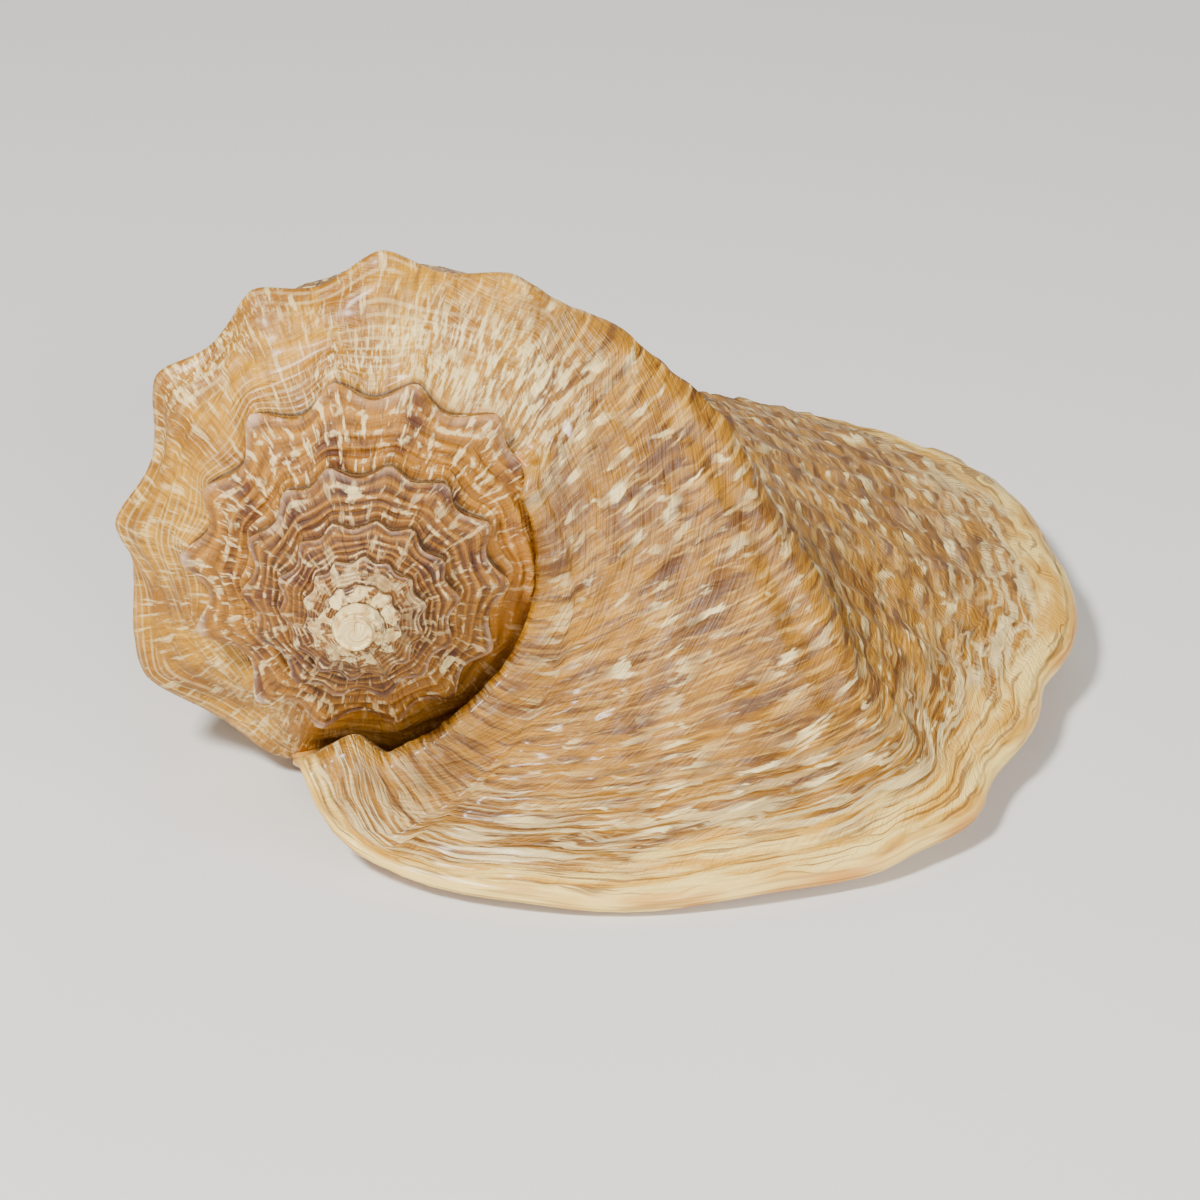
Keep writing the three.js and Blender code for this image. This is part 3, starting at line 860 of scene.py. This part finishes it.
# %% Ramp colours
OCHRE, HONEY = paint_colour(152, 97, 3), paint_colour(202, 143, 12)
ramp = mix(streaks(0.014, 0.018, 0.35, 0.65, 73.0, 0.01), OCHRE, HONEY)
ramp = mix(share(streaks(0.0030, 0.016, 0.50, 0.66, 79.0), 0.50), ramp, CARAMEL)
ramp = mix(share(streaks(0.0009, 0.0090, 0.50, 0.64, 81.0, 0.002), 0.45), ramp, CARAMEL)
whitish = streaks(0.022, 0.020, 0.48, 0.62, 82.0, 0.02)
lattice = maths(look, "MULTIPLY", streaks(0.0010, 0.0030, 0.48, 0.62, 83.0, 0.001), whitish)
ramp = mix(share(lattice, 0.70), ramp, CREAM)
ramp = mix(share(streaks(0.0013, 0.0100, 0.54, 0.66, 84.0, 0.002), 0.50), ramp, CREAM)
thin_cords = maths(look, "SINE", maths(look, "MULTIPLY", s_place, 62 * TURN))
cord_patches = streaks(0.030, 0.012, 0.42, 0.60, 85.0, 0.01)
thin_cords = maths(look, "MULTIPLY", fade(look, thin_cords, 0.1, 1.0), cord_patches)
ramp = mix(share(thin_cords, 0.30), ramp, CREAM)
ramp = mix(share(fade(look, s_knob, 0.50, 1.0), 0.35), ramp, PALE)

# %% Spire colours
TAWNY, CHESTNUT, PLUM = paint_colour(164, 106, 14), paint_colour(94, 46, 4), paint_colour(74, 30, 16)
LILAC_WHITE, IVORY = paint_colour(236, 206, 184), paint_colour(248, 224, 158)
# The darkest brown serves the cord grooves and fine streaks, and also the painted shade on the riser and
# in the seams.
DARK_GROOVE_AND_SHADE, CORD_TOP = paint_colour(42, 17, 6), paint_colour(196, 140, 52)
FLECK, DASH_PAINTED_GLINT = paint_colour(246, 216, 152), paint_colour(246, 218, 160)
WORN_TAN = paint_colour(206, 160, 92)
older = fade(look, s_turns, -1.1, -2.1)
spire = mix(streaks(0.010, 0.012, 0.46, 0.68, 89.0), TAWNY, CHESTNUT)
spire = mix(share(older, 0.50), spire, PLUM)
wide_cords = maths(look, "SINE", maths(look, "MULTIPLY", s_place, 22 * TURN))
groove_gain = maths(look, "MULTIPLY_ADD", older, 0.30, 0.35)
groove_parts = maths(look, "MULTIPLY_ADD", streaks(0.020, 0.010, 0.38, 0.58, 88.0, 0.01), 0.75, 0.25)
groove_gain = maths(look, "MULTIPLY", groove_gain, groove_parts)
spire = mix(maths(look, "MULTIPLY", fade(look, wide_cords, 0.1, -0.8), groove_gain), spire, DARK_GROOVE_AND_SHADE)
spire = mix(share(fade(look, wide_cords, 0.4, 1.0), 0.35), spire, CORD_TOP)
# Painted highlight: pale dashes on the cord tops stand for glints of light.
painted_glints = streaks(0.0040, 0.0040, 0.54, 0.62, 94.0, 0.003)
painted_glints = maths(look, "MULTIPLY", fade(look, wide_cords, 0.0, 0.8), painted_glints)
spire = mix(share(painted_glints, 0.60), spire, DASH_PAINTED_GLINT)
fleck_share = maths(look, "MULTIPLY_ADD", older, -0.45, 0.80)
flecks = streaks(0.0018, 0.0070, 0.55, 0.64, 97.0, 0.002)
spire = mix(share(flecks, fleck_share), spire, FLECK)
spire = mix(share(streaks(0.0009, 0.0070, 0.52, 0.64, 99.0, 0.002), 0.50), spire, DARK_GROOVE_AND_SHADE)
spire = mix(share(streaks(0.0070, 0.0060, 0.63, 0.70, 101.0), 0.65), spire, IVORY)
spire = mix(share(fade(look, s_knob, 0.45, 0.95), 0.75), spire, LILAC_WHITE)
worn_tip = mix(streaks(0.0020, 0.0040, 0.42, 0.66, 104.0, 0.001), IVORY, WORN_TAN)
worn_parts = streaks(0.0030, 0.0040, 0.47, 0.54, 105.0, 0.001)
worn_parts = maths(look, "MULTIPLY", worn_parts, fade(look, s_turns, -3.3, -4.8))
spire = mix(share(worn_parts, 0.85), spire, worn_tip)
spire = mix(fade(look, s_turns, -5.70, -5.98), spire, worn_tip)

# %% [markdown]
# ## The body, the inner face and the rim
# The old body wall fades from caramel to a pale underside, with a grey-brown painted shade near the
# opening. The inner face is the glossy pinkish cream that conch shells are known for. The rim is pale
# straw, and its amber patches are a painted glow, as of light through the thin edge.

# %% Body, inner face and rim
UNDERSIDE, GREY_BROWN_PAINTED_SHADE = paint_colour(222, 184, 122), paint_colour(96, 72, 44)
PINK_CREAM, PEACH = paint_colour(250, 210, 172), paint_colour(228, 138, 92)
AMBER_PAINTED_GLOW = paint_colour(206, 128, 20)
body_low = fade(look, s_turns, -0.10, -0.42)
below_knobs = fade(look, s_place, 0.27, 0.36)
body = mix(share(body_low, 0.7), wing, UNDERSIDE)
# Painted shade: grey-brown on the lower flank of the last turn, below the knobs.
body = mix(share(fade(look, s_turns, -0.30, -0.42), 0.6), body, GREY_BROWN_PAINTED_SHADE)
glaze_noise = stretched_noise(look, s_grown, s_down, 0.020, 0.035, 31.0, detail=4.0)
glaze_edge = maths(look, "ADD", s_glazed, centred(look, glaze_noise, 1.8))
lining_colour = mix(fade(look, s_turns, 0.50, 0.12), PINK_CREAM, PEACH)
lining_colour = mix(share(streaks(0.030, 0.080, 0.45, 0.70, 103.0), 0.35), lining_colour, PALE)
rim_patches = noise(look, vector(look, share(s_down, 38.0), share(s_side, 1.2), 107.0), detail=1.0)
rim_layers = noise(look, vector(look, share(s_down, 30.0), share(s_side, 9.0), 108.0), detail=2.0)
# Painted glow: amber patches on the rim stand for light shining through its thin edge.
rim_colour = mix(share(fade(look, rim_patches, 0.38, 0.62), 0.80), PALE, AMBER_PAINTED_GLOW)
rim_colour = mix(share(fade(look, rim_layers, 0.52, 0.62), 0.50), rim_colour, TAN)

# %% [markdown]
# The zones fade into each other by age and place. Beside the spire, the ramp has a patch of white weave.
# The shaded recess between the spire and the wing is painted a lighter brown, a painted light that lifts
# its shade. A painted shade darkens the riser under the shoulder of the spire turns, and the thin dark
# lines in the seams are partly dirt and partly painted shade.

# %% Put the zones together
# Painted light: a lighter brown that lifts the shade in the recess beside the spire.
RECESS_PAINTED_LIGHT = paint_colour(220, 146, 50)
coat = mix(fade(look, s_turns, 0.02, 0.17), ramp, wing)
coat = mix(fade(look, s_turns, -0.42, -0.66), coat, spire)
coat = mix(below_knobs, coat, body)
near_wing = maths(look, "MULTIPLY", fade(look, s_turns, 0.0, 0.06), fade(look, s_turns, 0.21, 0.13))
across_ramp = maths(look, "MULTIPLY", fade(look, s_place, 0.23, 0.15), fade(look, s_place, 0.01, 0.06))
near_wing = maths(look, "MULTIPLY", near_wing, across_ramp)
white_weave = maths(look, "MULTIPLY", near_wing, streaks(0.0012, 0.0060, 0.47, 0.58, 87.0, 0.001))
coat = mix(share(white_weave, 0.70), coat, CREAM)
# Painted light: the shaded recess between the spire and the wing is painted a lighter brown.
recess_painted_light = maths(look, "MULTIPLY", fade(look, s_turns, -0.86, -0.74), fade(look, s_turns, -0.40, -0.46))
recess_painted_light = maths(look, "MULTIPLY", recess_painted_light, fade(look, s_place, 0.22, 0.19))
coat = mix(share(recess_painted_light, 0.42), coat, RECESS_PAINTED_LIGHT)
coat = mix(in_band, coat, band)
# Painted shade: a dark band on the riser under the shoulder of the spire turns.
riser_painted_shade = maths(look, "MULTIPLY", fade(look, s_place, 0.262, 0.285), fade(look, s_turns, -0.5, -0.7))
coat = mix(share(riser_painted_shade, 0.22), coat, DARK_GROOVE_AND_SHADE)
# Thin dark lines in the seams: partly dirt, partly painted shade.
seam_dirt_and_shade = maths(look, "MULTIPLY", fade(look, s_place, 0.042, 0.008), fade(look, s_side, 0.1, 0.0))
seam_dirt_and_shade = maths(look, "MULTIPLY", seam_dirt_and_shade, fade(look, s_down, 0.0026, 0.0008))
seam_dirt_and_shade = maths(look, "MULTIPLY", seam_dirt_and_shade, fade(look, s_turns, -6.02, -5.96))
coat = mix(share(seam_dirt_and_shade, 0.85), coat, DARK_GROOVE_AND_SHADE)
crest_wear = fade(look, s_place, 0.205, 0.232)
crest_wear = maths(look, "MULTIPLY", crest_wear, fade(look, s_place, 0.258, 0.240))
crest_wear = maths(look, "MULTIPLY", crest_wear, fade(look, s_turns, -0.5, -0.8))
crest_wear = maths(look, "MULTIPLY", crest_wear, streaks(0.0060, 0.050, 0.35, 0.62, 103.0, 0.002))
coat = mix(share(crest_wear, 0.18), coat, LILAC_WHITE)
coat = mix(fade(look, glaze_edge, 0.44, 0.56), coat, PINK_CREAM)
coat = mix(fade(look, s_side, 0.02, 0.40), coat, rim_colour)
coat = mix(fade(look, s_side, 0.60, 0.98), coat, lining_colour)

# %% [markdown]
# ## Fine relief and gloss
# Lines finer than a millimetre are too small for the mesh, so a Bump node draws
# them: thin growth lines everywhere, and thin cords across the ramp. The shell
# is chalky on the old spire, glossier on the wing and like glaze inside.

# %% Fine lines and gloss
fine_growth = streaks(0.0013, 0.0110, 0.0, 1.0, 53.0, 0.002, "Grain")
fine_down = look.nodes.new("ShaderNodeTexNoise")
feed(look, fine_down.inputs["Vector"], vector(look, share(s_grown, 90.0), share(s_down, 900.0), 5.0))
fine_down.inputs["Scale"].default_value = 1.0
fine = maths(look, "ADD", fine_growth, share(fine_down.outputs[0], 1.1))
fine = maths(look, "MULTIPLY", fine, fade(look, s_side, 0.10, 0.0))
bump_node = look.nodes.new("ShaderNodeBump")
bump_node.inputs["Strength"].default_value = 0.8
bump_node.inputs["Distance"].default_value = 0.0008
feed(look, bump_node.inputs["Height"], fine)

rough_base = maths(look, "MULTIPLY_ADD", fade(look, s_turns, 0.02, -0.6), 0.14, 0.36)
gloss_grain = streaks(0.010, 0.020, 0.0, 1.0, 113.0, 0.004, "Grain")
rough = maths(look, "MULTIPLY_ADD", gloss_grain, 0.22, rough_base)
rough = maths(look, "MULTIPLY_ADD", in_band, 0.10, rough)
rough = maths(look, "MULTIPLY_ADD", fade(look, s_side, 0.4, 1.0), -0.26, rough)
surface = look.nodes.new("ShaderNodeBsdfPrincipled")
feed(look, surface.inputs["Base Color"], coat)
feed(look, surface.inputs["Roughness"], rough)
feed(look, surface.inputs["Normal"], bump_node.outputs[0])
feed(look, surface.inputs["Coat Weight"], share(fade(look, s_turns, -0.5, 0.2), 0.20))
surface.inputs["Coat Roughness"].default_value = 0.18
surface_out = look.nodes.new("ShaderNodeOutputMaterial")
look.links.new(surface.outputs[0], surface_out.inputs["Surface"])
print("material has", len(look.nodes), "nodes")

# %% [markdown]
# ## Run the relief tree
# The tree is set on the shell with its sizes, and its result is kept as a plain
# mesh. The result is then fitted once more to the solid's box, because the
# ribs stand a little proud of the smooth skin.

# %% Apply the relief and fit the result
modifier = shell.modifiers.new("relief", "NODES")
modifier.node_group = relief
for item in relief.interface.items_tree:
    if item.in_out == "INPUT" and item.name in RELIEF_SIZES:
        modifier[item.identifier] = RELIEF_SIZES[item.name]
    elif item.in_out == "INPUT" and item.name == "Material":
        modifier[item.identifier] = finish
graph = bpy.context.evaluated_depsgraph_get()
ribbed = bpy.data.meshes.new_from_object(shell.evaluated_get(graph), depsgraph=graph)
shell.modifiers.remove(modifier)
shell.data = ribbed
flat_xyz = np.empty(len(ribbed.vertices) * 3, dtype=np.float32)
ribbed.vertices.foreach_get("co", flat_xyz)
xyz = flat_xyz.reshape(-1, 3).astype(float)
xyz[:, 2] = np.maximum(xyz[:, 2], low[2])
ribbed_low, ribbed_size = xyz.min(axis=0), xyz.max(axis=0) - xyz.min(axis=0)
fit = np.minimum((high - low) / ribbed_size, 1)
xyz = (xyz - ribbed_low) * fit + low + ((high - low) - ribbed_size * fit) / 2
xyz[:, 2] += low[2] - xyz[:, 2].min()
ribbed.vertices.foreach_set("co", xyz.astype(np.float32).ravel())
ribbed.update()
if not ribbed.materials:
    ribbed.materials.append(finish)
triangle_count = sum(len(polygon.vertices) - 2 for polygon in ribbed.polygons)
print("relief done:", triangle_count, "triangles, fitted by", fit.round(5).tolist())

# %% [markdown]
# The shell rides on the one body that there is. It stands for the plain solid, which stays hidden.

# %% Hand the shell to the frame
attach(shell, "root")
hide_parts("shell")
print(shell.name, "stands for the plain solid")

# %% [markdown]
# ## Floor, light and camera
# A pale floor and four soft lights show the shell plainly. The key light comes
# from the left and above, and a weak one from the front opens the shadow beside
# the spire.

# %% Pale floor
FLOOR_SIZE, FLOOR_GAP = 12, 0.0005
bpy.ops.mesh.primitive_plane_add(size=FLOOR_SIZE, location=(0, 0, -FLOOR_GAP))
floor = bpy.context.object
floor.name = "floor"
floor_paint = bpy.data.materials.new("pale floor")
floor_paint.use_nodes = True
floor_surface = floor_paint.node_tree.nodes["Principled BSDF"]
floor_surface.inputs["Base Color"].default_value = paint_colour(228, 228, 226)
floor_surface.inputs["Roughness"].default_value = 0.8
floor.data.materials.append(floor_paint)
print("floor", FLOOR_SIZE, "m wide")

# %% Soft studio light
AIM_HEIGHT = 0.06


def soft_light(name, place_at, wide, power, tint=(1, 1, 1)):
    lamp = bpy.data.lights.new(name, "AREA")
    lamp.shape, lamp.size, lamp.energy, lamp.color = "DISK", wide, power, tint
    lamp_object = bpy.data.objects.new(name, lamp)
    lamp_object.location = place_at
    aim = -np.array(place_at) + np.array([0, 0, AIM_HEIGHT])
    lamp_object.rotation_euler = Vector(aim.tolist()).to_track_quat("-Z", "Y").to_euler()
    bpy.context.collection.objects.link(lamp_object)
    print(name, "light:", power, "W")


soft_light("key", (-0.60, -0.75, 1.20), 0.28, 37.0, (1.0, 0.97, 0.92))
soft_light("front", (0.30, -1.25, 0.62), 0.40, 6.0, (1.0, 0.98, 0.95))
soft_light("fill", (1.1, -0.9, 0.6), 0.8, 11.0)
soft_light("back", (0.3, 1.2, 0.9), 0.7, 4.0)
sky = bpy.data.worlds.new("studio")
sky.use_nodes = True
sky.node_tree.nodes["Background"].inputs["Color"].default_value = (0.93, 0.90, 0.86, 1)
sky.node_tree.nodes["Background"].inputs["Strength"].default_value = 0.29
bpy.context.scene.world = sky

# %% [markdown]
# The camera looks towards the spire from 29 degrees above the ground, through a
# long lens, as the photo does. Its place is drawn in millimetres from the axis,
# like the shell, and then turned into metres.

# %% Camera
RISE = 29 * DEGREE
AWAY, ASIDE, UP = 892.0, 61.25, 10.0
LENS, SENSOR = 108.0, 36.0
aside = np.array([1.0, 0.0, 0.0])
forward = np.array([0.0, math.cos(RISE), -math.sin(RISE)])
upward = np.array([0.0, math.sin(RISE), math.cos(RISE)])
stand = np.array([0, 0, AXIS_HEIGHT]) - AWAY * forward + ASIDE * aside + UP * upward
camera_data = bpy.data.cameras.new("camera")
camera_data.lens, camera_data.sensor_width = LENS, SENSOR
camera = bpy.data.objects.new("camera", camera_data)
camera.location = to_metres(stand)
camera.rotation_euler = (math.pi / 2 - RISE, 0, 0)
bpy.context.collection.objects.link(camera)
bpy.context.scene.camera = camera
print("camera at", to_metres(stand).round(3), "m")
